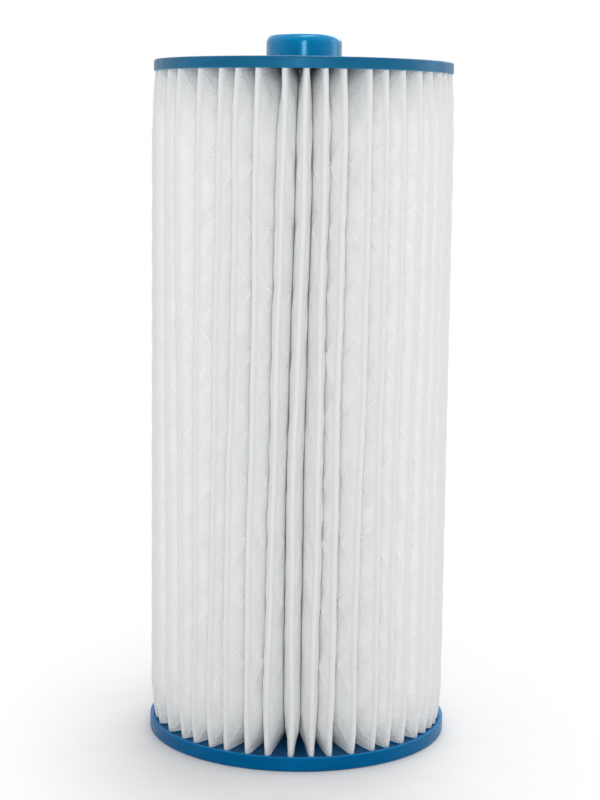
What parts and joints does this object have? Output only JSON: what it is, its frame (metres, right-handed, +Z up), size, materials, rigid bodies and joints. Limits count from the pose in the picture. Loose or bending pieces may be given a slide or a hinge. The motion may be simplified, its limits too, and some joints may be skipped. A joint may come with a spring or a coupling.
{
  "type": "filter cartridge",
  "caption": "Pleated water filter cartridge: white folded polyester between blue cast end caps, closed top with a round knob, open bore in the bottom.",
  "frame": {"origin": "centre of the bottom cap's flat underside, on the cartridge's axis", "axes": "+Z up along the cartridge's axis, out through the knob; -Y towards the front, the adhesive bead of the sheet is at +Y"},
  "size_m": [0.152, 0.152, 0.3532],
  "materials": {
    "cap_urethane": "satin cast polyurethane",
    "knob_plastic": "satin moulded plastic",
    "media_polyester": "calendered spunbond polyester, embossed",
    "core_plastic": "moulded",
    "seam_adhesive": "hot-melt adhesive"
  },
  "bodies": {
    "root": {"top_end_cap": "cap_urethane", "top_knob": "knob_plastic", "bottom_end_cap": "cap_urethane", "bottom_collar": "core_plastic", "pleated_media": "media_polyester", "media_seam_bead": "seam_adhesive", "core_section_1": "core_plastic", "core_section_2": "core_plastic", "core_section_3": "core_plastic", "core_section_4": "core_plastic", "core_section_5": "core_plastic", "core_top_plug": "core_plastic"}
  },
  "joints": []
}
